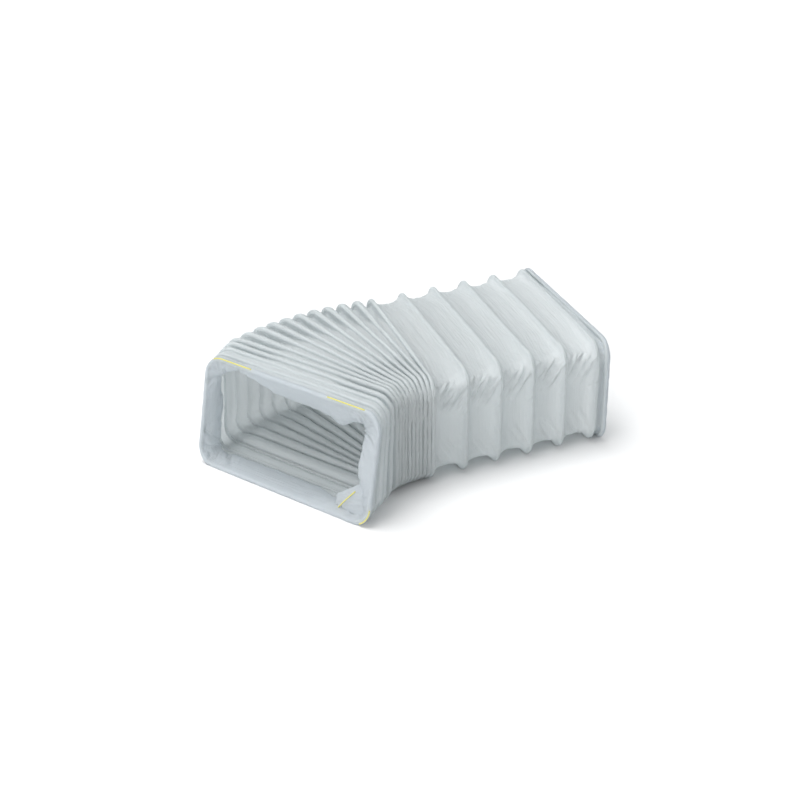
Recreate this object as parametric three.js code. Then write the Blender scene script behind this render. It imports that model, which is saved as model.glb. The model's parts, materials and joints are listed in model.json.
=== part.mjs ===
// A flexible air duct of rectangular section: a coated spring-wire helix carries a soft film sleeve.
// Each turn of the wire is a flat rounded-rectangle loop, and a web of film spans from loop to loop.
// Millimetres, +Z up. The stretched part of the duct runs along +X, and the duct stands on Z = 0.
import * as THREE from "three";

// Mouth: the duct slips over a rectangular spigot of this outer size.
const SPIGOT_WIDTH = 110;
const SPIGOT_HEIGHT = 54;
const SPIGOT_CLEARANCE = 0.3;

// Walls, from the spigot outwards: collar film, gap, web film, gap, coated wire.
const COLLAR_THICKNESS = 0.5;
const FILM_THICKNESS = 0.4;
const GAP = 0.3;
const WIRE_DIAMETER = 1.8;
const LOOP_CORNER_RADIUS = 9.4;

// Front stack: loops close together at the bottom, leaning back a little at the mouth.
const FRONT_BAYS = 4;
const FRONT_PITCH = 8.8;
const FRONT_SKEW = 12;
const FRONT_LEAN = 11.5;

// Elbow: the loops are bunched on the inner side and fan out on the outer side.
const ELBOW_BAYS = 10;
const ELBOW_INNER_PITCH = 2.42;
const ELBOW_TURN = 3.49;

// Stretched part: the loops stand well apart, and the film dips between them.
const STRETCHED_BAYS = 5;
const STRETCHED_PITCH = 19.9;
const STRETCHED_SKEW = 7.9;

// Rear end: the last two loops stand close together as a cuff.
const CUFF_INNER_PITCH = 6.3;
const CUFF_OUTER_PITCH = 3.4;

// Film: how far it dips in between loops, and how deep the mouth's margin is folded in.
const STRETCHED_DIP = 4.6;
const BUNCHED_DIP = 4.2;
const FRONT_MARGIN_DEPTH = 14;

// Tracer line: a thin thread of colour bonded to the film's edge, laid over the mouth's rim.
const TRACER_WIDTH = 0.8;
const TRACER_THICKNESS = 0.5;
const TOP_LEFT_TRACER_LENGTH = 21;
const TOP_RIGHT_TRACER_LENGTH = 24;
const TUCKED_TRACER_LENGTH = 8;

// Fineness of the solids.
const CORNER_STEPS = 3;
const WIRE_SIDES = 6;
const FILM_STEPS = 3;

const WIRE_RADIUS = WIRE_DIAMETER / 2;
const FILM_INSET = WIRE_RADIUS + GAP;
const COLLAR_INSET = FILM_INSET + FILM_THICKNESS + GAP;
const WALL = COLLAR_INSET + COLLAR_THICKNESS + SPIGOT_CLEARANCE;
const LOOP_WIDTH = SPIGOT_WIDTH + 2 * WALL;
const LOOP_HEIGHT = SPIGOT_HEIGHT + 2 * WALL;
const SMALLEST_RADIUS = 2;
const LAST = FRONT_BAYS + ELBOW_BAYS + STRETCHED_BAYS + 1;

const coat = new THREE.Color(0.78, 0.8, 0.8);
const film = new THREE.Color(0.85, 0.88, 0.89);
const tracer = new THREE.Color(0.86, 0.8, 0.25);

function finish(color, roughness) {
  return new THREE.MeshStandardMaterial({ color, roughness, metalness: 0 });
}

function heading(degrees) {
  const a = THREE.MathUtils.degToRad(degrees);
  return new THREE.Vector3(Math.cos(a), Math.sin(a), 0);
}

// The side of the duct that the bend turns towards.
function innerSide(yaw) {
  return heading(yaw - 90);
}

// One loop's place: the point under its middle, its heading, and how far it leans back.
function place(foot, yaw, lean) {
  return { foot: foot.clone(), yaw, lean };
}

// The loops' places, from the front mouth to the rear end. The last heading is the loops' own
// heading in the stretched part, which is skewed to the way they are spaced, along +X.
function loopPlaces() {
  const places = [];
  let yaw = ELBOW_BAYS * ELBOW_TURN - STRETCHED_SKEW;
  let foot = new THREE.Vector3();
  places.push(place(foot, yaw, FRONT_LEAN));
  for (let bay = 1; bay <= FRONT_BAYS; bay += 1) {
    foot.addScaledVector(heading(yaw + FRONT_SKEW), FRONT_PITCH);
    places.push(place(foot, yaw, FRONT_LEAN * (1 - bay / FRONT_BAYS)));
  }
  for (let bay = 0; bay < ELBOW_BAYS; bay += 1) {
    foot.addScaledVector(innerSide(yaw), LOOP_WIDTH / 2);
    foot.addScaledVector(heading(yaw - ELBOW_TURN / 2), ELBOW_INNER_PITCH);
    yaw -= ELBOW_TURN;
    foot.addScaledVector(innerSide(yaw), -LOOP_WIDTH / 2);
    places.push(place(foot, yaw, 0));
  }
  for (let bay = 0; bay < STRETCHED_BAYS; bay += 1) {
    foot.addScaledVector(heading(yaw + STRETCHED_SKEW), STRETCHED_PITCH);
    places.push(place(foot, yaw, 0));
  }
  const turned = Math.atan2(CUFF_INNER_PITCH - CUFF_OUTER_PITCH, LOOP_WIDTH);
  foot.addScaledVector(heading(yaw), (CUFF_INNER_PITCH + CUFF_OUTER_PITCH) / 2);
  places.push(place(foot, yaw + THREE.MathUtils.radToDeg(turned), 0));
  return places;
}

const loops = loopPlaces();

// The duct's frame at a station: a whole number is a loop, and between two loops it is blended.
function frameAt(station) {
  const first = Math.min(Math.max(Math.floor(station), 0), LAST - 1);
  const share = station - first;
  const a = loops[first];
  const b = loops[first + 1];
  const yaw = THREE.MathUtils.lerp(a.yaw, b.yaw, share);
  const lean = THREE.MathUtils.degToRad(THREE.MathUtils.lerp(a.lean, b.lean, share));
  const ahead = heading(yaw);
  const across = innerSide(yaw);
  const up = new THREE.Vector3(0, 0, Math.cos(lean)).addScaledVector(ahead, Math.sin(lean));
  const along = new THREE.Vector3().crossVectors(up, across);
  const middle = new THREE.Vector3().lerpVectors(a.foot, b.foot, share);
  middle.z = WIRE_RADIUS;
  middle.addScaledVector(up, LOOP_HEIGHT / 2);
  return { middle, across, up, along };
}

// The angles at which a loop's outline has a point: a few round each corner.
const outlineAngles = [];
for (let corner = 0; corner < 4; corner += 1) {
  for (let step = 0; step <= CORNER_STEPS; step += 1) {
    outlineAngles.push({ corner, angle: (corner + step / CORNER_STEPS) * Math.PI / 2 });
  }
}

// A point of the loop's outline, moved inwards by inset and along the duct by offset. It lies on
// a corner's arc, or by past on the straight side that meets the arc at that angle.
function outlinePoint(frame, { corner, angle, past = 0 }, inset, offset) {
  const radius = Math.max(LOOP_CORNER_RADIUS - inset, SMALLEST_RADIUS);
  const sideways = corner === 0 || corner === 3 ? 1 : -1;
  const upwards = corner < 2 ? 1 : -1;
  const arcS = sideways * (LOOP_WIDTH / 2 - inset - radius) + radius * Math.cos(angle);
  const arcT = upwards * (LOOP_HEIGHT / 2 - inset - radius) + radius * Math.sin(angle);
  const s = arcS - past * Math.sin(angle);
  const t = arcT + past * Math.cos(angle);
  return frame.middle.clone()
    .addScaledVector(frame.across, s)
    .addScaledVector(frame.up, t)
    .addScaledVector(frame.along, offset);
}

// A closed solid whose section runs round a list of outline points. The section is a list of
// { station, inset, offset }, and the ends are closed when the run doesn't come back to its start.
function sweptRound(section, run = outlineAngles, closed = true) {
  const rows = run.length;
  const columns = section.length;
  const positions = [];
  for (const at of run) {
    for (const { station, inset, offset } of section) {
      positions.push(...outlinePoint(frameAt(station), at, inset, offset).toArray());
    }
  }
  const index = [];
  const lastRow = closed ? rows : rows - 1;
  for (let row = 0; row < lastRow; row += 1) {
    const next = (row + 1) % rows;
    for (let column = 0; column < columns; column += 1) {
      const beside = (column + 1) % columns;
      const a = row * columns + column;
      const b = row * columns + beside;
      const c = next * columns + beside;
      const d = next * columns + column;
      index.push(a, b, c, a, c, d);
    }
  }
  if (!closed) {
    const end = (rows - 1) * columns;
    for (let column = 1; column < columns - 1; column += 1) {
      index.push(0, column + 1, column);
      index.push(end, end + column, end + column + 1);
    }
  }
  const geometry = new THREE.BufferGeometry();
  geometry.setAttribute("position", new THREE.Float32BufferAttribute(positions, 3));
  geometry.setIndex(index);
  geometry.computeVertexNormals();
  return geometry;
}

function wireLoop(station) {
  const section = [];
  for (let side = 0; side < WIRE_SIDES; side += 1) {
    const a = (side + 0.5) / WIRE_SIDES * 2 * Math.PI;
    section.push({ station, inset: -WIRE_RADIUS * Math.cos(a), offset: WIRE_RADIUS * Math.sin(a) });
  }
  return sweptRound(section);
}

// The web of film between two loops, which stops short of the next web by the gap.
function filmWeb(first, pitch, dip) {
  const margin = GAP / 2 / pitch;
  const outer = [];
  const inner = [];
  for (let step = 0; step <= FILM_STEPS; step += 1) {
    const share = margin + (1 - 2 * margin) * step / FILM_STEPS;
    const inset = FILM_INSET + dip * 4 * share * (1 - share);
    outer.push({ station: first + share, inset, offset: 0 });
    inner.unshift({ station: first + share, inset: inset + FILM_THICKNESS, offset: 0 });
  }
  return sweptRound([...outer, ...inner]);
}

// The film margin of an end: a flat rim in front of the end loop, and a band folded into the duct.
function foldedMargin(endStation, outwards, innerStation) {
  const near = outwards * (WIRE_RADIUS + GAP);
  const far = near + outwards * COLLAR_THICKNESS;
  const bandInner = COLLAR_INSET + COLLAR_THICKNESS;
  const section = [
    { station: endStation, inset: -WIRE_RADIUS, offset: near },
    { station: endStation, inset: -WIRE_RADIUS, offset: far },
    { station: endStation, inset: bandInner, offset: far },
    { station: endStation, inset: bandInner, offset: 0 },
    { station: innerStation, inset: bandInner, offset: 0 },
    { station: innerStation, inset: COLLAR_INSET, offset: 0 },
    { station: endStation, inset: COLLAR_INSET, offset: 0 },
    { station: endStation, inset: COLLAR_INSET, offset: near },
  ];
  return sweptRound(outwards < 0 ? section.reverse() : section);
}

// A stretch of tracer line along a run of outline points, from inset outset to inset, between two
// places along the duct.
function tracerLine(run, outset, inset, back, front) {
  const section = [
    { ...back, inset },
    { ...front, inset },
    { ...front, inset: outset },
    { ...back, inset: outset },
  ];
  return sweptRound(section, run, false);
}

// The outline points of one corner, from one of its steps to another.
function cornerRun(corner, from, to) {
  return outlineAngles.slice(corner * (CORNER_STEPS + 1) + from, corner * (CORNER_STEPS + 1) + to + 1);
}

const part = new THREE.Group();

function add(name, geometry, material) {
  const mesh = new THREE.Mesh(geometry, material);
  mesh.name = name;
  part.add(mesh);
}

function numbered(word, number) {
  return word + "_" + String(number).padStart(2, "0");
}

const wireFinish = finish(coat, 0.5);
const filmFinish = finish(film, 0.4);
const collarFinish = finish(film, 0.35);
const tracerFinish = finish(tracer, 0.5);

for (let loop = 0; loop <= LAST; loop += 1) {
  add(numbered("wire_turn", loop + 1), wireLoop(loop), wireFinish);
}

const coveredBays = Math.ceil(FRONT_MARGIN_DEPTH / FRONT_PITCH);
for (let bay = 0; bay < LAST; bay += 1) {
  let pitch = FRONT_PITCH / 2;
  let dip = BUNCHED_DIP;
  if (bay < coveredBays || bay === LAST - 1) {
    dip = 0;
  }
  if (bay >= FRONT_BAYS) {
    pitch = ELBOW_INNER_PITCH;
  }
  if (bay >= FRONT_BAYS + ELBOW_BAYS) {
    pitch = bay === LAST - 1 ? CUFF_OUTER_PITCH : STRETCHED_PITCH;
    dip = bay === LAST - 1 ? 0 : STRETCHED_DIP;
  }
  add(numbered("film_bay", bay + 1), filmWeb(bay, pitch, dip), filmFinish);
}

add("front_collar", foldedMargin(0, -1, FRONT_MARGIN_DEPTH / FRONT_PITCH), collarFinish);
add("rear_collar", foldedMargin(LAST, 1, LAST - 1), collarFinish);

// The line shows twice on the top edge, once round the lower corner, and on the tucked-in corner.
const rimInset = -WIRE_RADIUS - GAP;
const rimBack = { station: 0, offset: -WIRE_RADIUS - GAP };
const rimFront = { station: 0, offset: rimBack.offset - TRACER_WIDTH };
const topAngle = Math.PI / 2;
const rimRuns = {
  top_left: [{ corner: 1, angle: topAngle, past: -TOP_LEFT_TRACER_LENGTH }, ...cornerRun(1, 0, 1)],
  top_right: [
    { corner: 0, angle: topAngle, past: GAP },
    { corner: 0, angle: topAngle, past: TOP_RIGHT_TRACER_LENGTH },
  ],
  corner: cornerRun(3, 1, CORNER_STEPS),
};
for (const [where, run] of Object.entries(rimRuns)) {
  const line = tracerLine(run, rimInset - TRACER_THICKNESS, rimInset, rimBack, rimFront);
  add("tracer_line_" + where, line, tracerFinish);
}
const tuckedInset = COLLAR_INSET + COLLAR_THICKNESS + GAP;
const tuckedBack = { station: (GAP + TRACER_WIDTH) / FRONT_PITCH, offset: 0 };
const tuckedFront = { station: GAP / FRONT_PITCH, offset: 0 };
const tuckedRun = [
  { corner: 3, angle: 3 * topAngle, past: -TUCKED_TRACER_LENGTH },
  ...cornerRun(3, 0, CORNER_STEPS - 1),
];
add(
  "tracer_line_tucked",
  tracerLine(tuckedRun, tuckedInset, tuckedInset + TRACER_THICKNESS, tuckedBack, tuckedFront),
  tracerFinish,
);

// The origin is under the middle of the whole duct, on the surface that it stands on.
part.updateMatrixWorld(true);
const extent = new THREE.Box3().setFromObject(part, true);
const centre = extent.getCenter(new THREE.Vector3());
part.position.set(-centre.x, -centre.y, -extent.min.z);

export default part;
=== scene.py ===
"""Film, ribs and folded margins of a rectangular flexible air duct, built round its wire loops."""

import json
import math

import bpy
import numpy as np
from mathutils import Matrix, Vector

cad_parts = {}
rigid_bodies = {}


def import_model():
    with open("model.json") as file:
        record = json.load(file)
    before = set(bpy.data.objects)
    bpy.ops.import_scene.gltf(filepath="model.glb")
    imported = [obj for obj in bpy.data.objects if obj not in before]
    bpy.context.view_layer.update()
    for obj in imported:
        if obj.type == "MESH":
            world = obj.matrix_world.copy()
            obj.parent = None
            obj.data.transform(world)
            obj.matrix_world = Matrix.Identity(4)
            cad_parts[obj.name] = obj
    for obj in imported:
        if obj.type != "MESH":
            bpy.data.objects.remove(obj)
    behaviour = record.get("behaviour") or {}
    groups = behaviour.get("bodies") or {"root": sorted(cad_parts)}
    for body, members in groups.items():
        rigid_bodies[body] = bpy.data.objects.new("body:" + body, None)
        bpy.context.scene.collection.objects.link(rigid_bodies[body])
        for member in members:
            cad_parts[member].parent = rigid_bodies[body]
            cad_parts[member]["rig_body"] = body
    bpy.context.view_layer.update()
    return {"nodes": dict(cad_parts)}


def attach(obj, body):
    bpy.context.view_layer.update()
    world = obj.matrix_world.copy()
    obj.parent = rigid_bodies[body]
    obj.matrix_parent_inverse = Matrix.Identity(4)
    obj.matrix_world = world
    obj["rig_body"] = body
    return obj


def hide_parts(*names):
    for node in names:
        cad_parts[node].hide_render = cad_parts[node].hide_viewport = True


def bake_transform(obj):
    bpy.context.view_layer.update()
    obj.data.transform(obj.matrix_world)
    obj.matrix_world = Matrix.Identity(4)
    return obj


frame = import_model()

bl_info = {
    "name": "Flexible Air Duct",
    "version": (1, 0, 0),
    "blender": (4, 5, 0),
    "location": "View3D > Sidebar > Air Duct",
    "description": "Builds the film, ribs and folded margins of a rectangular flexible air duct",
    "category": "Add Mesh",
}

MM = 0.001
NODES = frame["nodes"]
RIB_COUNT = sum(name.startswith("wire_turn_") for name in NODES)
BAY_COUNT = RIB_COUNT - 1

# Bays are counted from 0 at the mouth. The front stack comes first, its first bays lie wholly under the
# margin, and the bend lies between it and the first stretched bay.
FRONT_BAYS = 4
COVERED_BAYS = 2
STRETCHED_FIRST = 14

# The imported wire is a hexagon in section, with a flat side outwards.
CAD_FACET = math.cos(math.pi / 6)


# ---------------------------------------------------------------- sizes and colours


def length(name, description, default, **more):
    return bpy.props.FloatProperty(
        name=name, description=description, default=default, unit="LENGTH", precision=5, **more
    )


def amount(name, description, default, **more):
    return bpy.props.FloatProperty(name=name, description=description, default=default, **more)


def count(name, description, default, **more):
    return bpy.props.IntProperty(name=name, description=description, default=default, **more)


def colour(name, description, default):
    return bpy.props.FloatVectorProperty(
        name=name, description=description, default=default, size=4, subtype="COLOR", min=0, max=1
    )


class DuctLoopSettings(bpy.types.PropertyGroup):
    """The wire loops that carry the film."""

    wire_diameter: length("Wire diameter", "Coated wire", 1.8 * MM)
    corner_radius: length("Corner radius", "Bend of the wire at a corner", 9.4 * MM)
    sleeve_radius: length("Rib radius", "Wire with the film welded round it", 1.15 * MM)
    sleeve_sides: count("Rib sides", "Facets round a rib", 12)
    side_steps: count("Long side steps", "Points along a long side", 84)
    end_steps: count("Short side steps", "Points along a short side", 44)
    corner_steps: count("Corner steps", "Points round a corner", 22)
    wobble: length("Wobble", "How far a rib strays from its true outline", 0.3 * MM)


class DuctFilmSettings(bpy.types.PropertyGroup):
    """The film between the ribs."""

    film_length: length("Film length", "Film from one rib to the next", 22 * MM)
    bunched_film_length: length("Bunched film length", "Film that shows in a bunched bay", 16 * MM)
    cuff_film_length: length("Cuff film length", "Film between the last two ribs", 10.5 * MM)
    covered_film_length: length("Covered film length", "Film of a bay under the margin", 12 * MM)
    thickness: length("Thickness", "Thickness of the film", 0.2 * MM)
    lie: length("Lie", "Film surface above the wire's centre", 1.05 * MM)
    top_lie: length("Top lie", "The same in the middle of the top", 1.3 * MM)
    across_steps: count("Steps across", "Points from rib to rib", 40)
    open_dip: length("Open dip", "Depth of the dip where the ribs stand apart", 3.7 * MM)
    bunched_dip: length("Bunched dip", "Depth of the folds where the ribs are bunched", 5.0 * MM)
    front_dip: length("Front dip", "Depth of the folds in the rest of the front stack", 4.0 * MM)
    covered_dip: length("Covered dip", "Depth of the folds under the margin", 1.1 * MM)
    cuff_dip: length("Cuff dip", "Depth of the fold between the last two ribs", 2.3 * MM)
    shallow: amount("Shallow folds", "Greatest depth on the top and inner side, in rib spacings", 0.8)
    corner_dip: amount("Corner dip", "Share of the bunched depth kept round a corner", 0.78)
    top_dip: amount("Top dip", "Share of the depth kept in the middle of the top", 0.24)
    bunched_top_dip: amount("Bunched top dip", "Share of a bunched fold kept there", 0.24)
    lap: amount("Lap", "How far a bunched fold leans towards the rear, like a shingle", 1.05)
    side_lap: amount("Side lap", "The same on the other sides", 0.75)
    gentle: amount("Gentle", "How much flatter a bunched fold leaves the rib before it", 0.7)
    bunched_pitch: length("Bunched pitch", "Rib spacing below which the film folds in a U", 9 * MM)
    open_pitch: length("Open pitch", "Rib spacing above which the film is a shallow dip", 17 * MM)
    pleat_depth: length("Pleat depth", "Fine pleats along the ribs", 0.5 * MM)
    pleat_count: amount("Pleat count", "Pleats from rib to rib", 6.0)
    crease_depth: length("Crease depth", "Slanting creases at the corners", 1.9 * MM)
    crease_pitch: length("Crease pitch", "Distance between creases", 6.5 * MM)
    crumple_depth: length("Crumple depth", "Small crumples over the whole film", 0.2 * MM)
    seed: count("Seed", "Seed of the wrinkles", 7)
    tint: colour("Film", "Colour of the film", (0.895, 0.916, 0.92, 1))
    shade: colour("Film shade", "Colour of its duller patches", (0.85, 0.873, 0.878, 1))
    glow: amount("Glow", "Share of the light that comes through the film", 0.7)


class DuctMarginSettings(bpy.types.PropertyGroup):
    """The film folded over the end ribs into the duct."""

    wrap_radius: length("Wrap radius", "Margin film round the end rib", 1.35 * MM)
    front_depth: length("Front margin", "Width of the film folded in at the front", 15 * MM)
    rear_depth: length("Rear margin", "Width of the film folded in at the rear", 10.5 * MM)
    thickness: length("Thickness", "Thickness of the margin film", 0.25 * MM)
    across_steps: count("Steps across", "Points from the rim to the free edge", 22)
    pleat_depth: length("Pleat depth", "Soft folds of the margin", 0.5 * MM)
    crease_depth: length("Crease depth", "Creases that run from the rim to the free edge", 1.2 * MM)
    crumple_depth: length("Crumple depth", "Small crumples of the margin", 0.35 * MM)
    belly: length("Belly", "How far the margin bulges inwards between rim and free edge", 0.8 * MM)
    edge_stray: length("Edge stray", "How far the free edge strays from a smooth line", 0.25 * MM)
    tint: colour("Margin", "Colour of the folded film", (0.84, 0.868, 0.885, 1))
    shade: colour("Margin shade", "Colour of its duller patches", (0.79, 0.82, 0.845, 1))


class DuctTracerSettings(bpy.types.PropertyGroup):
    """The coloured line along the film's edge."""

    radius: length("Line radius", "Half the line's width", 0.36 * MM)
    sides: count("Line sides", "Facets round the line", 8)
    top_left: length("Top left length", "Line along the top edge from the outer corner", 21 * MM)
    top_right: length("Top right length", "Line along the top edge from the inner corner", 24 * MM)
    tint: colour("Line", "Colour of the line", (0.6, 0.54, 0.06, 1))
    pale: colour("Pale line", "Colour of the line where it is worn pale", (0.7, 0.67, 0.3, 1))


class DuctStageSettings(bpy.types.PropertyGroup):
    """Floor, lights and camera."""

    azimuth: amount("Azimuth", "Camera azimuth in degrees", -26.0)
    elevation: amount("Elevation", "Camera elevation in degrees", 27.5)
    distance: length("Distance", "Camera to the point it looks at", 0.915)
    aim: bpy.props.FloatVectorProperty(
        name="Aim",
        description="Point the camera looks at",
        default=(-0.0016, 0.0093, 0.0231),
        subtype="TRANSLATION",
        unit="LENGTH",
    )
    focal: amount("Lens", "Focal length in millimetres", 74.25)
    sky: amount("Sky", "Strength of the light from all round", 0.57)
    key_power: amount("Key light", "Power of the broad light in watts", 191.0)
    fill_power: amount("Front light", "Power of the light from the front left in watts", 110.0)
    floor_tint: colour("Floor", "Colour of the floor", (0.82, 0.82, 0.82, 1))


SETTINGS = {
    "duct_loops": DuctLoopSettings,
    "duct_film": DuctFilmSettings,
    "duct_margin": DuctMarginSettings,
    "duct_tracer": DuctTracerSettings,
    "duct_stage": DuctStageSettings,
}


# ---------------------------------------------------------------- node trees


class Port:
    """An output socket, so that maths on it reads as an expression."""

    def __init__(self, tree, socket):
        self.tree = tree
        self.socket = socket

    def math(self, operation, *values):
        sockets = dict(enumerate(values))
        return self.tree.add("ShaderNodeMath", {"operation": operation}, sockets)

    def __add__(self, other):
        return self.math("ADD", self, other)

    def __radd__(self, other):
        return self.math("ADD", other, self)

    def __sub__(self, other):
        return self.math("SUBTRACT", self, other)

    def __rsub__(self, other):
        return self.math("SUBTRACT", other, self)

    def __mul__(self, other):
        return self.math("MULTIPLY", self, other)

    def __rmul__(self, other):
        return self.math("MULTIPLY", other, self)

    def __truediv__(self, other):
        return self.math("DIVIDE", self, other)

    def __rtruediv__(self, other):
        return self.math("DIVIDE", other, self)

    def __pow__(self, other):
        return self.math("POWER", self, other)

    def __abs__(self):
        return self.math("ABSOLUTE", self)

    def least(self, other):
        return self.math("MINIMUM", self, other)

    def most(self, other):
        return self.math("MAXIMUM", self, other)


class Tree:
    """A node tree that is filled by naming each node's type, settings and sockets."""

    def __init__(self, tree):
        self.tree = tree

    def add(self, kind, settings=None, sockets=None, output=0):
        node = self.tree.nodes.new(kind)
        for name, value in (settings or {}).items():
            setattr(node, name, value)
        for name, value in (sockets or {}).items():
            if isinstance(value, Port):
                self.tree.links.new(value.socket, node.inputs[name])
            else:
                node.inputs[name].default_value = value
        return Port(self, node.outputs[output]) if len(node.outputs) else None

    def vector(self, x, y, z):
        return self.add("ShaderNodeCombineXYZ", None, {"X": x, "Y": y, "Z": z})

    def noise(self, vector, scale, detail=2.0, seed=0.0):
        sockets = {"Vector": vector, "W": seed, "Scale": scale, "Detail": detail, "Roughness": 0.5}
        return self.add("ShaderNodeTexNoise", {"noise_dimensions": "4D"}, sockets)

    def attribute(self, name):
        return self.add("GeometryNodeInputNamedAttribute", {"data_type": "FLOAT"}, {"Name": name})

    def shown(self, name):
        """The same attribute as a material reads it."""
        return self.add("ShaderNodeAttribute", {"attribute_name": name}, output=2)


def geometry_tree(name, inputs):
    """A Geometry Nodes tree with named inputs, and the ports of its group input by name."""
    group = bpy.data.node_groups.new(name, "GeometryNodeTree")
    group.interface.new_socket(name="Geometry", in_out="INPUT", socket_type="NodeSocketGeometry")
    for label, kind in inputs.items():
        group.interface.new_socket(name=label, in_out="INPUT", socket_type="NodeSocket" + kind)
    group.interface.new_socket(name="Geometry", in_out="OUTPUT", socket_type="NodeSocketGeometry")
    tree = Tree(group)
    source = group.nodes.new("NodeGroupInput")
    ports = {label: Port(tree, source.outputs[label]) for label in ["Geometry", *inputs]}
    return group, tree, ports


def close_tree(tree, geometry, material):
    """Ends a Geometry Nodes tree in Realize Instances and Set Material."""
    real = tree.add("GeometryNodeRealizeInstances", None, {"Geometry": geometry})
    final = tree.add("GeometryNodeSetMaterial", None, {"Geometry": real, "Material": material})
    tree.add("NodeGroupOutput", None, {"Geometry": final})


def tube_tree():
    """A round tube along a path: a rib or a tracer line."""
    inputs = {"Radius": "Float", "Sides": "Int", "Material": "Material"}
    group, tree, port = geometry_tree("tube along path", inputs)
    curve = tree.add("GeometryNodeMeshToCurve", None, {"Mesh": port["Geometry"]})
    section = {"Resolution": port["Sides"], "Radius": port["Radius"]}
    ring = tree.add("GeometryNodeCurvePrimitiveCircle", {"mode": "RADIUS"}, section)
    sockets = {"Curve": curve, "Profile Curve": ring, "Fill Caps": True}
    tube = tree.add("GeometryNodeCurveToMesh", None, sockets)
    smooth = tree.add("GeometryNodeSetShadeSmooth", None, {"Geometry": tube, "Shade Smooth": True})
    close_tree(tree, smooth, port["Material"])
    return group


def slanting_creases(tree, drop, share, reach, pitch, seed, sharpness):
    """Ridges that slant away from the corners of both ribs of a bay, stronger from the rear one.

    drop is the distance from the corner, share the place from edge to edge of the film, and reach the
    distance between those edges.
    """
    slant, level = 0.48, 0.88
    ridge_length = 45 * MM
    strongest, fades_over = 11.5 * MM, 12.5 * MM
    total = None
    for side, strength in ((0.0, 1.0), (1.0, 0.15)):
        beside = reach * (1 - share) if side == 0.0 else reach * share
        across = (drop * -slant + beside * level) / pitch
        along = drop * level + beside * slant
        ripple = tree.noise(tree.vector(across, along / ridge_length, side * 9), 1.0, 1.0, seed)
        ridge = (1 - abs(ripple - 0.5) * sharpness).most(0.0) ** 1.3
        near = (1 - abs(along - strongest) / fades_over).most(0.0)
        crease = ridge * near.least(0.5) * 2 * strength
        total = crease if total is None else total + crease
    return total


def wrinkle_tree():
    """Pleats along the ribs, slanting creases at the corners and small crumples on a film."""
    inputs = {
        "Pleat Depth": "Float",
        "Pleat Count": "Float",
        "Crease Depth": "Float",
        "Crease Pitch": "Float",
        "Crumple Depth": "Float",
        "Seed": "Float",
        "Material": "Material",
    }
    group, tree, port = geometry_tree("film wrinkles", inputs)
    run = tree.attribute("run")
    share = tree.attribute("share")
    slack = tree.attribute("slack")
    drop = tree.attribute("drop")
    reach = tree.attribute("reach")
    creased = tree.attribute("creased")
    seed = port["Seed"]

    pleat_length = 50 * MM
    belly = 4 * share * (1 - share)
    pleat_place = tree.vector(run / pleat_length, share * port["Pleat Count"], 0.0)
    pleat = (tree.noise(pleat_place, 1.0, 3.0, seed) - 0.5) * 2 * belly.least(0.5) * 2 * slack

    creases = slanting_creases(tree, drop, share, reach, port["Crease Pitch"], seed, 11.0)
    creases = creases * belly.least(0.6) * 1.6

    position = tree.add("GeometryNodeInputPosition")
    crumple = (tree.noise(position, 260.0, 2.0, seed) - 0.5) * 2 * belly.least(0.4) * 2.5
    height = (
        pleat * port["Pleat Depth"]
        + creases * port["Crease Depth"] * creased
        + crumple * port["Crumple Depth"]
    )
    normal = tree.add("GeometryNodeInputNormal")
    push = tree.add("ShaderNodeVectorMath", {"operation": "SCALE"}, {"Vector": normal, "Scale": height})
    moved = tree.add("GeometryNodeSetPosition", None, {"Geometry": port["Geometry"], "Offset": push})
    smooth = tree.add("GeometryNodeSetShadeSmooth", None, {"Geometry": moved, "Shade Smooth": True})
    close_tree(tree, smooth, port["Material"])
    return group


# ---------------------------------------------------------------- materials


def new_material(name):
    material = bpy.data.materials.new(name)
    material.use_nodes = True
    material.node_tree.nodes.clear()
    return material, Tree(material.node_tree)


def film_material(name, tint, shade, glow, on_uv=True):
    """Thin, cool white, half-gloss plastic film, crinkled along the ribs, that lets light through.

    glow is the share of light that comes through. Without on_uv it reads object coordinates.
    """
    material, tree = new_material(name)
    place = tree.add("ShaderNodeTexCoord", output=2 if on_uv else 3)
    stretch = (1.0, 14.0, 1.0) if on_uv else (1.0, 1.0, 1.0)
    along = tree.add("ShaderNodeMapping", None, {"Vector": place, "Scale": stretch})
    patches = tree.noise(along, 22.0, 3.0, 1.0)
    streaks = tree.noise(along, 60.0, 3.0, 2.0)
    crinkle = tree.noise(place, 330.0, 4.0, 3.0)
    grain = tree.noise(place, 1500.0, 2.0, 4.0)
    paler = (patches * 2.2 - 0.6).most(0.0).least(1.0)
    mixed = tree.add(
        "ShaderNodeMix", {"data_type": "RGBA"}, {"Factor": paler, 6: shade, 7: tint}, output=2
    )
    roughness = 0.24 + crinkle * 0.2
    height = streaks * 1.4 + crinkle * 0.5 + grain * 0.12
    if on_uv:
        drop, share, reach, creased = (tree.shown(n) for n in ("drop", "share", "reach", "creased"))
        fine_pitch = 5.5 * MM
        fine = slanting_creases(tree, drop, share, reach, fine_pitch, reach * 300, 10.0)
        height = height + fine * creased * 1.8
    relief = {"Strength": 0.38, "Distance": 1.1 * MM, "Height": height}
    bump = tree.add("ShaderNodeBump", None, relief)
    sockets = {"Base Color": mixed, "Roughness": roughness, "Normal": bump, "IOR": 1.48}
    skin = tree.add("ShaderNodeBsdfPrincipled", None, sockets)
    average = [(a + b) / 2 for a, b in zip(tint, shade)]
    through = tree.add("ShaderNodeBsdfTranslucent", None, {"Color": average, "Normal": bump})
    both = tree.add("ShaderNodeMixShader", None, {0: glow, 1: skin, 2: through})
    tree.add("ShaderNodeOutputMaterial", None, {"Surface": both})
    return material


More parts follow.
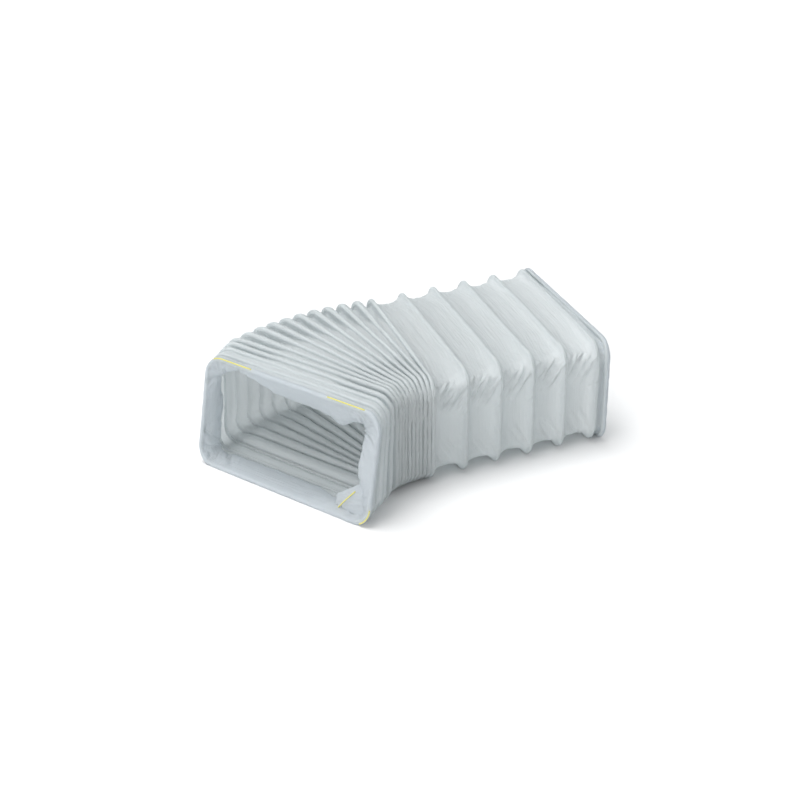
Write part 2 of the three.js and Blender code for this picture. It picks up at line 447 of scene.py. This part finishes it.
def tracer_material(tint, pale):
    """Matt coloured line, a little uneven along its length."""
    material, tree = new_material("tracer line")
    coordinates = tree.add("ShaderNodeTexCoord", output=3)
    patches = tree.noise(coordinates, 300.0, 2.0, 4.0)
    mixed = tree.add(
        "ShaderNodeMix", {"data_type": "RGBA"}, {"Factor": patches, 6: tint, 7: pale}, output=2
    )
    relief = {"Strength": 0.2, "Distance": 0.4 * MM, "Height": patches}
    bump = tree.add("ShaderNodeBump", None, relief)
    sockets = {"Base Color": mixed, "Roughness": 0.45 + patches * 0.2, "Normal": bump}
    skin = tree.add("ShaderNodeBsdfPrincipled", None, sockets)
    tree.add("ShaderNodeOutputMaterial", None, {"Surface": skin})
    return material


def floor_material(tint):
    """Plain pale floor."""
    material, tree = new_material("floor")
    coordinates = tree.add("ShaderNodeTexCoord", output=3)
    patches = tree.noise(coordinates, 8.0, 2.0, 5.0)
    sockets = {"Base Color": tint, "Roughness": 0.8 + patches * 0.1}
    skin = tree.add("ShaderNodeBsdfPrincipled", None, sockets)
    tree.add("ShaderNodeOutputMaterial", None, {"Surface": skin})
    return material


# ---------------------------------------------------------------- loops and their outline


class Loop:
    """One wire loop of the duct: its middle, its axes and its half sizes along the wire's centre."""

    def __init__(self, number, wire_diameter):
        self.node = f"wire_turn_{number:02d}"
        wire = NODES[self.node]
        self.body = wire["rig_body"]
        places = np.array([vertex.co for vertex in wire.data.vertices], float)
        places = np.unique(np.round(places, 7), axis=0)
        self.middle = places.mean(0)
        across, up, along = np.linalg.svd(places - self.middle)[2]
        self.along = along if along[0] > 0 else -along
        self.up = up if up[2] > 0 else -up
        self.across = np.cross(self.along, self.up)
        facet = wire_diameter / 2 * CAD_FACET
        self.half_width = np.abs((places - self.middle) @ self.across).max() - facet
        self.half_height = np.abs((places - self.middle) @ self.up).max() - facet
        self.number = number

    def place(self, s, t, depth=0.0):
        """Points at s across, t up and depth along, as an array of rows."""
        s, t, depth = np.broadcast_arrays(s, t, depth)
        plane = s[..., None] * self.across + t[..., None] * self.up
        return self.middle + plane + depth[..., None] * self.along

    def direction(self, s, t):
        return s[..., None] * self.across + t[..., None] * self.up


def eased(steps, total):
    """Places along a side, closer together towards its ends."""
    even = np.arange(steps) / steps
    return total * (0.6 * even + 0.4 * (0.5 - 0.5 * np.cos(math.pi * even)))


class Outline:
    """A loop's rounded rectangle from the middle of its lower side, towards the inner side and up.

    s and t are the place, out_s and out_t the way outwards, run the distance covered, and drop the
    distance from the nearest corner's middle.
    """

    def __init__(self, loop, settings):
        radius = settings.corner_radius
        flat_s = loop.half_width - radius
        flat_t = loop.half_height - radius
        points = []
        half_steps = settings.side_steps // 2
        bottom = eased(settings.side_steps, 2 * flat_s) - flat_s
        height = eased(settings.end_steps, 2 * flat_t) - flat_t
        points += [(s, -loop.half_height, 0, -1) for s in bottom[half_steps:]]
        points += self.corner(flat_s, -flat_t, radius, -90, settings.corner_steps)
        points += [(loop.half_width, t, 1, 0) for t in height]
        points += self.corner(flat_s, flat_t, radius, 0, settings.corner_steps)
        points += [(-s, loop.half_height, 0, 1) for s in bottom]
        points += self.corner(-flat_s, flat_t, radius, 90, settings.corner_steps)
        points += [(-loop.half_width, -t, -1, 0) for t in height]
        points += self.corner(-flat_s, -flat_t, radius, 180, settings.corner_steps)
        points += [(s, -loop.half_height, 0, -1) for s in bottom[:half_steps]]
        self.s, self.t, self.out_s, self.out_t = np.array(points, float).T
        steps = np.hypot(np.roll(self.s, -1) - self.s, np.roll(self.t, -1) - self.t)
        self.run = np.concatenate([[0.0], np.cumsum(steps)[:-1]])
        self.total = steps.sum()
        self.arc = arc = math.pi / 2 * radius
        first = flat_s
        second = first + arc + 2 * flat_t
        third = second + arc + 2 * flat_s
        fourth = third + arc + 2 * flat_t
        self.corner_starts = {
            "lower_inner": first,
            "upper_inner": second,
            "upper_outer": third,
            "lower_outer": fourth,
        }
        middles = [start + arc / 2 for start in self.corner_starts.values()]
        gaps = [np.abs((self.run - m + self.total / 2) % self.total - self.total / 2) for m in middles]
        self.drop = np.min(gaps, axis=0)

    def corner(self, s, t, radius, start, steps):
        found = []
        for step in range(steps):
            angle = math.radians(start + 90 * step / steps)
            c, n = math.cos(angle), math.sin(angle)
            found.append((s + radius * c, t + radius * n, c, n))
        return found

    def moved(self, outwards):
        """The outline moved outwards by a distance, which may differ from point to point."""
        return self.s + self.out_s * outwards, self.t + self.out_t * outwards

    def at(self, run):
        """Place and outward direction at any distance along the outline."""
        wrapped = np.mod(run, self.total)
        ring = np.append(self.run, self.total)
        values = (self.s, self.t, self.out_s, self.out_t)
        return [np.interp(wrapped, ring, np.append(v, v[0])) for v in values]


LOOPS = []


def outline():
    return Outline(LOOPS[0], bpy.context.scene.duct_loops)


def strayed(shape, number):
    """The outline of one rib with its own slight stray, shared by the rib and the film on it.

    The two end ribs don't stray, and the others stray least at their corners.
    """
    wobble = bpy.context.scene.duct_loops.wobble
    turn = 2 * math.pi * shape.run / shape.total
    stray = np.sin(2 * turn + 1.7 * number) + 0.6 * np.sin(5 * turn + 2.9 * number)
    away_from_corners = np.maximum(np.abs(shape.out_s), np.abs(shape.out_t)) ** 6
    strength = 0.0 if number in (1, RIB_COUNT) else 0.6
    return shape.moved(wobble * stray * away_from_corners * strength)


# ---------------------------------------------------------------- meshes


def mesh_object(name, vertices, faces, edges=()):
    mesh = bpy.data.meshes.new(name)
    mesh.from_pydata([tuple(v) for v in vertices], list(edges), faces)
    mesh.update()
    item = bpy.data.objects.new(name, mesh)
    bpy.context.scene.collection.objects.link(item)
    return item


def grid_object(name, points, closed, attributes, uv):
    """A film surface from a grid of points, closed round its rows, with attributes and a UV map."""
    rows, columns = points.shape[:2]
    faces = []
    corners = []
    for row in range(rows if closed else rows - 1):
        for column in range(columns - 1):
            quad = [(row, column), (row, column + 1), (row + 1, column + 1), (row + 1, column)]
            corners += quad
            faces.append([(r % rows) * columns + c for r, c in quad])
    item = mesh_object(name, points.reshape(-1, 3), faces)
    for label, values in attributes.items():
        attribute = item.data.attributes.new(label, "FLOAT", "POINT")
        spread = np.broadcast_to(values, (rows, columns))
        attribute.data.foreach_set("value", spread.ravel().astype("f4"))
    layer = item.data.uv_layers.new(name="film")
    run, width = uv
    grid_u = np.vstack([np.broadcast_to(run[0], (rows, columns)), np.full((1, columns), run[1])])
    grid_v = np.vstack([width, width[:1]])
    flat = [(grid_u[r, c], grid_v[r, c]) for r, c in corners]
    layer.data.foreach_set("uv", np.array(flat, "f4").ravel())
    return item


def finished(item, group, values, thickness=0.0):
    """The object with its Geometry Nodes tree and its thickness made real, as a plain mesh."""
    modifier = item.modifiers.new("shape", "NODES")
    modifier.node_group = group
    for socket in group.interface.items_tree:
        if socket.in_out == "INPUT" and socket.name in values:
            modifier[socket.identifier] = values[socket.name]
    if thickness:
        wall = item.modifiers.new("wall", "SOLIDIFY")
        wall.thickness = thickness
        wall.offset = 0.0
    bpy.context.view_layer.update()
    graph = bpy.context.evaluated_depsgraph_get()
    mesh = bpy.data.meshes.new_from_object(item.evaluated_get(graph), depsgraph=graph)
    mesh.name = item.name
    item.modifiers.clear()
    old = item.data
    item.data = mesh
    bpy.data.meshes.remove(old)


def path_object(name, points, closed):
    number = len(points)
    last = number if closed else number - 1
    edges = [(i, (i + 1) % number) for i in range(last)]
    return mesh_object(name, points, [], edges)


def resampled(path, steps):
    """Each row's path at even distances along itself, and each row's length."""
    lengths = np.linalg.norm(np.diff(path, axis=1), axis=2)
    covered = np.concatenate([np.zeros((len(path), 1)), np.cumsum(lengths, axis=1)], axis=1)
    found = np.empty((len(path), steps + 1, path.shape[2]))
    for row in range(len(path)):
        wanted = np.linspace(0, covered[row, -1], steps + 1)
        for axis in range(path.shape[2]):
            found[row, :, axis] = np.interp(wanted, covered[row], path[row, :, axis])
    return found, covered[:, -1]


def smooth_step(low, high, value):
    share = np.clip((value - low) / (high - low), 0, 1)
    return share * share * (3 - 2 * share)


def web_profile(pitch, dip, bunched, lie, gentle):
    """Half of the film's path at each outline point, from the top of a rib to the middle of the bay.

    gentle makes it leave the rib at a flatter angle, where it lies over like a shingle.
    """
    steep = np.clip(dip / (0.42 * pitch), 0, 1)
    leave = np.radians(90 * steep + 14 * (1 - bunched) * smooth_step(0, 0.2, steep))
    leave = leave * (1 - gentle)
    arc_points, bend_points = 8, 40
    angle = leave[:, None] * np.linspace(0, 1, arc_points)
    arc = np.stack([lie[:, None] * np.sin(angle), -lie[:, None] * np.cos(angle)], axis=2)
    start = arc[:, -1]
    heading = np.stack([np.cos(leave), np.sin(leave)], axis=1)
    end = np.stack([pitch / 2, dip], axis=1)
    fall = (0.26 + 0.3 * bunched) * dip
    flat = pitch / 2 * (0.84 - 0.04 * bunched)
    first = start + heading * fall[:, None]
    second = end - np.stack([flat, np.zeros_like(flat)], axis=1)
    t = np.linspace(0, 1, bend_points)[1:, None]
    bend = (
        start[:, None] * (1 - t) ** 3
        + 3 * first[:, None] * (1 - t) ** 2 * t
        + 3 * second[:, None] * (1 - t) * t**2
        + end[:, None] * t**3
    )
    return np.concatenate([arc, bend], axis=1)


def depths(shape, pitch, bunched, dip, settings):
    """How deep the film dips at each outline point: less round a bunched corner and on the top.

    Where the ribs are bunched, the top and the inner side are no deeper than the rib spacing allows.
    """
    corner = 1 - smooth_step(0.45 * shape.arc, 0.5 * shape.arc + 10 * MM, shape.drop)
    deep = settings.open_dip * (1 - bunched) + dip * bunched
    deep = np.where(dip < settings.open_dip, np.minimum(deep, dip), deep)
    deep *= 1 - bunched * corner * (1 - settings.corner_dip)
    inner = smooth_step(0.5, 1.0, shape.out_s) * (shape.out_t < 0.5)
    limited = np.clip(smooth_step(-0.2, 0.5, shape.out_t) + inner, 0, 1)
    shallow = np.minimum(deep, settings.shallow * pitch)
    deep += (shallow - deep) * limited * bunched
    level = settings.top_dip * (1 - bunched) + settings.bunched_top_dip * bunched
    ease = 24 * MM * (1 - bunched) + 34 * MM * bunched
    top = smooth_step(0.5, 1.0, shape.out_t) * smooth_step(0, 1, (shape.drop - shape.arc / 2) / ease)
    return deep * (1 - top * (1 - level))


def web_points(shape, a, b, dip, settings):
    """The film from loop a to loop b as a grid, with the rib spacing, the bunching and its width."""
    place_a = a.place(*strayed(shape, a.number))
    place_b = b.place(*strayed(shape, b.number))
    span = place_b - place_a
    pitch = np.linalg.norm(span, axis=1)
    ahead = span / pitch[:, None]
    out = a.direction(shape.out_s, shape.out_t) + b.direction(shape.out_s, shape.out_t)
    out -= (out * ahead).sum(1)[:, None] * ahead
    out /= np.linalg.norm(out, axis=1)[:, None]
    bunched = 1 - smooth_step(settings.bunched_pitch, settings.open_pitch, pitch)
    deep = depths(shape, pitch, bunched, dip, settings)
    middle = smooth_step(0.5, 1.0, shape.out_t) * smooth_step(15 * MM, 40 * MM, shape.drop)
    lie = settings.lie + (settings.top_lie - settings.lie) * middle * (1 - 0.6 * bunched)
    shingled = bunched * smooth_step(3.5 * MM, 7 * MM, pitch)
    above = smooth_step(-0.3, 0.5, shape.out_t)
    half = web_profile(pitch, deep, bunched, lie, settings.gentle * shingled * above)
    mirror = web_profile(pitch, deep, bunched, lie, 0 * shingled)[:, -2::-1]
    mirror[:, :, 0] = pitch[:, None] - mirror[:, :, 0]
    path = np.concatenate([half, mirror], axis=1)
    lap = (settings.side_lap + (settings.lap - settings.side_lap) * above) * shingled
    lap = lap * smooth_step(0, settings.open_dip, deep)
    share = path[:, :, 0] / pitch[:, None]
    path[:, :, 0] += lap[:, None] * share * (1 - share) * pitch[:, None]
    path, width = resampled(path, settings.across_steps)
    points = place_a[:, None] + path[:, :, :1] * ahead[:, None] - path[:, :, 1:] * out[:, None]
    return points, pitch, bunched, width


# ---------------------------------------------------------------- operators


class DUCT_OT_ribs(bpy.types.Operator):
    """Make one rib for each wire loop: the coated wire in the film that is welded round it"""

    bl_idname = "duct.ribs"
    bl_label = "Ribs"

    def execute(self, context):
        settings = context.scene.duct_loops
        film = context.scene.duct_film
        shape = outline()
        group = tube_tree()
        material = film_material("rib film", film.tint, film.shade, film.glow, on_uv=False)
        for loop in LOOPS:
            points = loop.place(*strayed(shape, loop.number))
            item = path_object(f"rib_{loop.number:02d}", points, closed=True)
            values = {
                "Radius": settings.sleeve_radius,
                "Sides": settings.sleeve_sides,
                "Material": material,
            }
            finished(item, group, values)
            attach(item, loop.body)
            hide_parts(loop.node)
        return {"FINISHED"}


class DUCT_OT_film(bpy.types.Operator):
    """Make the film of each bay, stretched between its two ribs"""

    bl_idname = "duct.film"
    bl_label = "Film"

    def execute(self, context):
        settings = context.scene.duct_film
        shape = outline()
        group = wrinkle_tree()
        material = film_material("duct film", settings.tint, settings.shade, settings.glow)
        for bay in range(BAY_COUNT):
            self.make_bay(bay, shape, settings, group, material)
        return {"FINISHED"}

    def measures(self, bay, shape, settings):
        """The length of film in a bay, and how deep it dips where the ribs are bunched."""
        if bay == BAY_COUNT - 1:
            return settings.cuff_film_length, settings.cuff_dip
        if bay < COVERED_BAYS:
            return settings.covered_film_length, settings.covered_dip
        if bay == COVERED_BAYS:
            under_margin = smooth_step(0.1, 0.6, np.maximum(-shape.out_t, -shape.out_s))
            less = (settings.covered_dip - settings.front_dip) * under_margin
            return settings.covered_film_length, settings.front_dip + less
        if bay < FRONT_BAYS:
            return settings.bunched_film_length, settings.front_dip
        if bay < STRETCHED_FIRST:
            return settings.bunched_film_length, settings.bunched_dip
        return settings.film_length, settings.bunched_dip

    def make_bay(self, bay, shape, settings, group, material):
        a, b = LOOPS[bay], LOOPS[bay + 1]
        film_length, dip = self.measures(bay, shape, settings)
        points, pitch, bunched, width = web_points(shape, a, b, dip, settings)
        share = np.linspace(0, 1, points.shape[1])[None, :]
        slack = (0.35 + 0.65 * (1 - bunched))[:, None]
        if bay < COVERED_BAYS:
            slack = slack * 0.3
        upright = smooth_step(0.5, 1.0, np.abs(shape.out_s))
        creased = (0.08 + 0.92 * upright) * np.where(shape.t > 0, 1.0, 0.4) * slack[:, 0]
        attributes = {
            "run": shape.run[:, None],
            "share": share,
            "slack": slack,
            "creased": creased[:, None],
            "drop": shape.drop[:, None],
            "reach": pitch[:, None],
        }
        bay_apart = 50 * MM
        uv = ((shape.run[:, None], shape.total), width[:, None] * share + bay_apart * bay)
        item = grid_object(f"film_{bay + 1:02d}", points, True, attributes, uv)
        last = bay == BAY_COUNT - 1
        values = {
            "Pleat Depth": settings.pleat_depth * (3.0 if last else 1.0),
            "Pleat Count": settings.pleat_count * (0.5 if last else 1.0),
            "Crease Depth": settings.crease_depth,
            "Crease Pitch": settings.crease_pitch,
            "Crumple Depth": settings.crumple_depth,
            "Seed": float(settings.seed * 10 + bay),
            "Material": material,
        }
        finished(item, group, values, settings.thickness)
        if a.body == b.body:
            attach(item, a.body)
        else:
            way = a.along + b.along
            way /= np.linalg.norm(way)
            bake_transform(item)
        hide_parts(f"film_bay_{bay + 1:02d}")


# The front margin's free edge, from the middle of the lower side towards the inner side and up:
# across, up and depth in millimetres from the middle of the mouth.
FRONT_EDGE = (
    (0, -25, 13),
    (14, -24.9, 13),
    (27, -24.9, 9),
    (40, -24.8, 6),
    (50, -23, 5),
    (47.5, -14, 3.5),
    (46, -2, 3),
    (46.5, 8, 3),
    (47, 15, 3.5),
    (43, 21, 5),
    (35, 18, 8),
    (29, 15, 8.5),
    (20, 17.5, 8),
    (10, 18.5, 8),
    (-3, 18.5, 8),
    (-14, 19.5, 7),
    (-24, 22, 5.5),
    (-31, 24.8, 3.6),
    (-39, 26.0, 3.3),
    (-47.6, 22.6, 3.8),
    (-53.2, 16, 6),
    (-53.7, 5, 9.5),
    (-53.7, -8, 10),
    (-53.3, -17, 10),
    (-50.2, -24.3, 10),
    (-42, -25, 12),
    (-24, -25.1, 12.5),
    (-10, -25, 13),
)

# The film tucked across the mouth's lower inner corner: its four corners in the same measures, and
# its cut size.
TUCK_CORNERS = ((33, -28, 3.2), (33.5, -20.5, 4.5), (56, -26.5, 0.8), (55.3, -5, 2.6))

# The two ends of the line on that tuck, in the same measures.
TUCK_LINE = ((36.5, -27, 2.2), (46.5, -14.5, 1.8))


def through(handles, runs, total, wanted):
    """A smooth closed curve through the handles, which stand at the given runs."""
    size = len(handles)
    order = np.arange(-2, size + 2)
    knots = np.array([runs[i % size] + total * (i // size) for i in order], float)
    values = np.array([handles[i % size] for i in order], float)
    found = np.empty((len(wanted), values.shape[1]))
    for row, place in enumerate(wanted):
        i = int(np.clip(np.searchsorted(knots, place, side="right") - 1, 1, len(knots) - 3))
        gap = knots[i + 1] - knots[i]
        u = (place - knots[i]) / gap
        m0 = (values[i + 1] - values[i - 1]) / (knots[i + 1] - knots[i - 1]) * gap
        m1 = (values[i + 2] - values[i]) / (knots[i + 2] - knots[i]) * gap
        found[row] = (
            (2 * u**3 - 3 * u**2 + 1) * values[i]
            + (u**3 - 2 * u**2 + u) * m0
            + (3 * u**2 - 2 * u**3) * values[i + 1]
            + (u**3 - u**2) * m1
        )
    return found


def nearest_runs(shape, handles):
    """For each handle, how far along the outline its nearest outline point stands."""
    runs = []
    for s, t, _ in handles:
        gap = np.hypot(shape.s - s, shape.t - t)
        runs.append(shape.run[int(np.argmin(gap))])
    return runs


def frayed(edge, shape, settings):
    """The free edge with its own small waves, across and along the duct."""
    turn = 2 * math.pi * shape.run / shape.total
    wave = np.sin(23 * turn + 1) + 0.8 * np.sin(41 * turn + 2.3) + 0.5 * np.sin(67 * turn + 0.4)
    cross = np.sin(29 * turn + 2) + 0.7 * np.sin(53 * turn + 0.9)
    edge = edge.copy()
    edge[:, 0] -= shape.out_s * 0.4 * settings.edge_stray * cross
    edge[:, 1] -= shape.out_t * 0.4 * settings.edge_stray * cross
    edge[:, 2] += settings.edge_stray * wave
    return edge


def margin_points(loop, shape, facing, edge, settings):
    """Film round the end rib and on to its free edge, with a slight inward belly between them.

    It leaves the rib where the line to the free edge touches the rib's round. facing is -1 at the
    front and 1 at the rear, and edge holds across, up and depth at each outline point.
    """
    edge = frayed(edge, shape, settings)
    radius = settings.wrap_radius
    middle = shape.moved(0.0)
    inwards = -((edge[:, 0] - middle[0]) * shape.out_s + (edge[:, 1] - middle[1]) * shape.out_t)
    back = np.abs(edge[:, 2])
    leave = np.arctan2(-inwards, -back) + np.arccos(radius / np.hypot(inwards, back))
    first = math.radians(118)
    round_points, straight_points = 14, 25
    rows = []
    for share in np.linspace(0, 1, round_points):
        angle = first + (leave - first) * share
        s, t = shape.moved(radius * np.sin(angle))
        rows.append(np.stack([s, t, facing * radius * np.cos(angle)], axis=1))
    start = rows[-1]
    inward = settings.belly * np.stack([shape.out_s, shape.out_t, np.zeros_like(s)], axis=1)
    for u in np.linspace(0, 1, straight_points)[1:]:
        rows.append(start * (1 - u) + edge * u - inward * math.sin(math.pi * u))
    path = np.stack(rows, axis=1)
    path, width = resampled(path, settings.across_steps)
    return loop.place(path[:, :, 0], path[:, :, 1], path[:, :, 2]), width


def make_margin(name, node, loop, facing, edge, seed, settings):
    """One folded margin, which rides the end loop's body and stands for the collar node."""
    shape = outline()
    points, width = margin_points(loop, shape, facing, edge, settings)
    share = np.linspace(0, 1, points.shape[1])[None, :]
    loose = smooth_step(0.12, 0.45, share)
    if facing > 0:
        points, loose = points[:, ::-1], loose[:, ::-1]
    attributes = {
        "run": shape.run[:, None],
        "share": 0.15 + 0.5 * share,
        "slack": loose,
        "creased": loose,
        "drop": shape.drop[:, None],
        "reach": width[:, None],
    }
    uv = ((shape.run[:, None], shape.total), width[:, None] * share)
    item = grid_object(name, points, True, attributes, uv)
    values = {
        "Pleat Depth": settings.pleat_depth,
        "Pleat Count": 2.2,
        "Crease Depth": settings.crease_depth,
        "Crease Pitch": 6 * MM,
        "Crumple Depth": settings.crumple_depth,
        "Seed": seed,
        "Material": bpy.data.materials["folded film"],
    }
    finished(item, bpy.data.node_groups["film wrinkles"], values, settings.thickness)
    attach(item, loop.body)
    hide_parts(node)


class DUCT_OT_margins(bpy.types.Operator):
    """Make the film folded over the two end ribs, and the tucked corner of the mouth"""

    bl_idname = "duct.margins"
    bl_label = "Folded margins"

    def execute(self, context):
        settings = context.scene.duct_margin
        film_material("folded film", settings.tint, settings.shade, context.scene.duct_film.glow)
        shape = outline()
        handles = np.array(FRONT_EDGE, float) * MM
        edge = through(handles, nearest_runs(shape, handles), shape.total, shape.run)
        make_margin(
            "front_margin", "front_collar", LOOPS[0], -1, edge, 3.0, settings
        )
        edge = self.rear_edge(shape, settings)
        make_margin(
            "rear_margin", "rear_collar", LOOPS[-1], 1, edge, 11.0, settings
        )
        self.make_tuck(settings)
        return {"FINISHED"}

    def rear_edge(self, shape, settings):
        """The rear margin's free edge, gently waved, a little inside the rib."""
        wrapped, inside = 6.3 * MM, 2.6 * MM
        turn = 2 * math.pi * shape.run / shape.total
        wave = 0.5 * MM * np.sin(3 * turn) + 0.3 * MM * np.sin(7 * turn)
        depth = settings.rear_depth - wrapped + wave
        s, t = shape.moved(-inside - 0.4 * MM * np.sin(4 * turn + 1))
        return np.stack([s, t, -depth], axis=1)

    def make_tuck(self, settings):
        """The lower inner corner of the mouth, where the film is tucked in across the corner."""
        rows, columns = 26, 18
        u, v = np.meshgrid(np.linspace(0, 1, rows), np.linspace(0, 1, columns), indexing="ij")
        corners = np.array(TUCK_CORNERS, float) * MM
        flat = (
            corners[0] * ((1 - u) * (1 - v))[..., None]
            + corners[1] * ((1 - u) * v)[..., None]
            + corners[2] * (u * (1 - v))[..., None]
            + corners[3] * (u * v)[..., None]
        )
        bulge = 1.6 * MM * np.sin(math.pi * u) * np.sin(math.pi * v)
        flat[..., 2] -= bulge
        points = LOOPS[0].place(flat[..., 0], flat[..., 1], flat[..., 2])
        long, wide = 20 * MM, 12 * MM
        attributes = {
            "run": u * long,
            "share": v,
            "slack": np.ones_like(u),
            "creased": np.ones_like(u),
            "drop": u * wide,
            "reach": np.full_like(u, wide),
        }
        uv = ((u * long, long), v * wide)
        item = grid_object("tucked_corner", points, False, attributes, uv)
        values = {
            "Pleat Depth": 0.5 * MM,
            "Pleat Count": 3.0,
            "Crease Depth": 0.5 * MM,
            "Crease Pitch": 4 * MM,
            "Crumple Depth": 0.3 * MM,
            "Seed": 5.0,
            "Material": bpy.data.materials["folded film"],
        }
        finished(item, bpy.data.node_groups["film wrinkles"], values, settings.thickness)
        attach(item, LOOPS[0].body)


class DUCT_OT_tracers(bpy.types.Operator):
    """Make the coloured line where it shows: twice on the top edge, round a corner and on the tuck"""

    bl_idname = "duct.tracers"
    bl_label = "Tracer lines"

    def execute(self, context):
        settings = context.scene.duct_tracer
        shape = outline()
        starts = shape.corner_starts
        sunk = 0.24 * MM
        lift = (context.scene.duct_margin.wrap_radius + settings.radius - sunk) * math.sqrt(0.5)
        top_left = starts["upper_outer"]
        top_right = starts["upper_inner"] + shape.arc
        lower = starts["lower_inner"]
        tracer_material(settings.tint, settings.pale)
        group = tube_tree()
        runs = {
            "top_left": (top_left - settings.top_left, top_left + shape.arc / 3, 30),
            "top_right": (top_right, top_right + settings.top_right, 30),
            "corner": (lower + shape.arc / 3, lower + shape.arc, 20),
        }
        for where, (start, end, steps) in runs.items():
            run = np.linspace(start, end, steps)
            s, t, out_s, out_t = shape.at(run)
            points = LOOPS[0].place(s + out_s * lift, t + out_t * lift, np.full_like(s, -lift))
            self.make_line(where, points, group, settings)
        ends = np.array(TUCK_LINE, float) * MM
        bulge = 1.1 * MM
        share = np.linspace(0, 1, 16)[:, None]
        path = ends[0] * (1 - share) + ends[1] * share
        path[:, 2] -= bulge * np.sin(math.pi * share[:, 0])
        points = LOOPS[0].place(path[:, 0], path[:, 1], path[:, 2])
        self.make_line("tucked", points, group, settings)
        return {"FINISHED"}

    def make_line(self, where, points, group, settings):
        item = path_object("tracer_" + where, points, closed=False)
        values = {
            "Radius": settings.radius,
            "Sides": settings.sides,
            "Material": bpy.data.materials["tracer line"],
        }
        finished(item, group, values)
        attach(item, LOOPS[0].body)
        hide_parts("tracer_line_" + where)


class DUCT_OT_stage(bpy.types.Operator):
    """Set out the floor, the soft lights and the camera"""

    bl_idname = "duct.stage"
    bl_label = "Stage"

    def execute(self, context):
        scene = context.scene
        settings = scene.duct_stage
        reach = 4.0
        corners = [(-reach, -reach, 0), (reach, -reach, 0), (reach, reach, 0), (-reach, reach, 0)]
        floor = mesh_object("floor", corners, [(0, 1, 2, 3)])
        floor.data.materials.append(floor_material(settings.floor_tint))

        world = bpy.data.worlds.new("studio")
        world.use_nodes = True
        backdrop = world.node_tree.nodes["Background"]
        backdrop.inputs["Color"].default_value = (0.97, 0.985, 1, 1)
        backdrop.inputs["Strength"].default_value = settings.sky
        scene.world = world
        self.lamp("key", (-0.9, 0.8, 4.7), 3.4, settings.key_power)
        self.lamp("front", (-4.45, -1.75, 1.6), 3.0, settings.fill_power)

        azimuth, elevation = math.radians(settings.azimuth), math.radians(settings.elevation)
        level = math.cos(elevation)
        forward = Vector(
            (-level * math.sin(azimuth), level * math.cos(azimuth), -math.sin(elevation))
        )
        camera = bpy.data.objects.new("camera", bpy.data.cameras.new("camera"))
        camera.data.lens = settings.focal
        camera.data.sensor_width = 36
        camera.data.clip_start = 0.01
        camera.location = Vector(settings.aim) - forward * settings.distance
        camera.rotation_euler = forward.to_track_quat("-Z", "Y").to_euler()
        scene.collection.objects.link(camera)
        scene.camera = camera
        scene.view_settings.view_transform = "Standard"
        return {"FINISHED"}

    def lamp(self, name, place, size, power):
        """A broad round lamp that faces the middle of the floor."""
        data = bpy.data.lights.new(name, "AREA")
        data.shape = "DISK"
        data.size = size
        data.energy = power
        lamp = bpy.data.objects.new(name, data)
        lamp.location = place
        lamp.rotation_euler = (-Vector(place)).to_track_quat("-Z", "Y").to_euler()
        bpy.context.scene.collection.objects.link(lamp)


class DUCT_PT_panel(bpy.types.Panel):
    """Sizes, colours and pieces of the duct"""

    bl_idname = "DUCT_PT_panel"
    bl_label = "Air Duct"
    bl_space_type = "VIEW_3D"
    bl_region_type = "UI"
    bl_category = "Air Duct"

    def draw(self, context):
        for name, group in SETTINGS.items():
            box = self.layout.box()
            settings = getattr(context.scene, name)
            for field in group.__annotations__:
                box.prop(settings, field)
        for operator in OPERATORS:
            self.layout.operator(operator.bl_idname)


OPERATORS = (DUCT_OT_ribs, DUCT_OT_film, DUCT_OT_margins, DUCT_OT_tracers, DUCT_OT_stage)
CLASSES = (*SETTINGS.values(), *OPERATORS, DUCT_PT_panel)


def register():
    for item in CLASSES:
        bpy.utils.register_class(item)
    for name, group in SETTINGS.items():
        setattr(bpy.types.Scene, name, bpy.props.PointerProperty(type=group))


def unregister():
    for name in SETTINGS:
        delattr(bpy.types.Scene, name)
    for item in reversed(CLASSES):
        bpy.utils.unregister_class(item)


def main():
    register()
    wire_diameter = bpy.context.scene.duct_loops.wire_diameter
    LOOPS.extend(Loop(number, wire_diameter) for number in range(1, RIB_COUNT + 1))
    bpy.ops.duct.ribs()
    bpy.ops.duct.film()
    bpy.ops.duct.margins()
    bpy.ops.duct.tracers()
    bpy.ops.duct.stage()


if __name__ == "__main__":
    main()
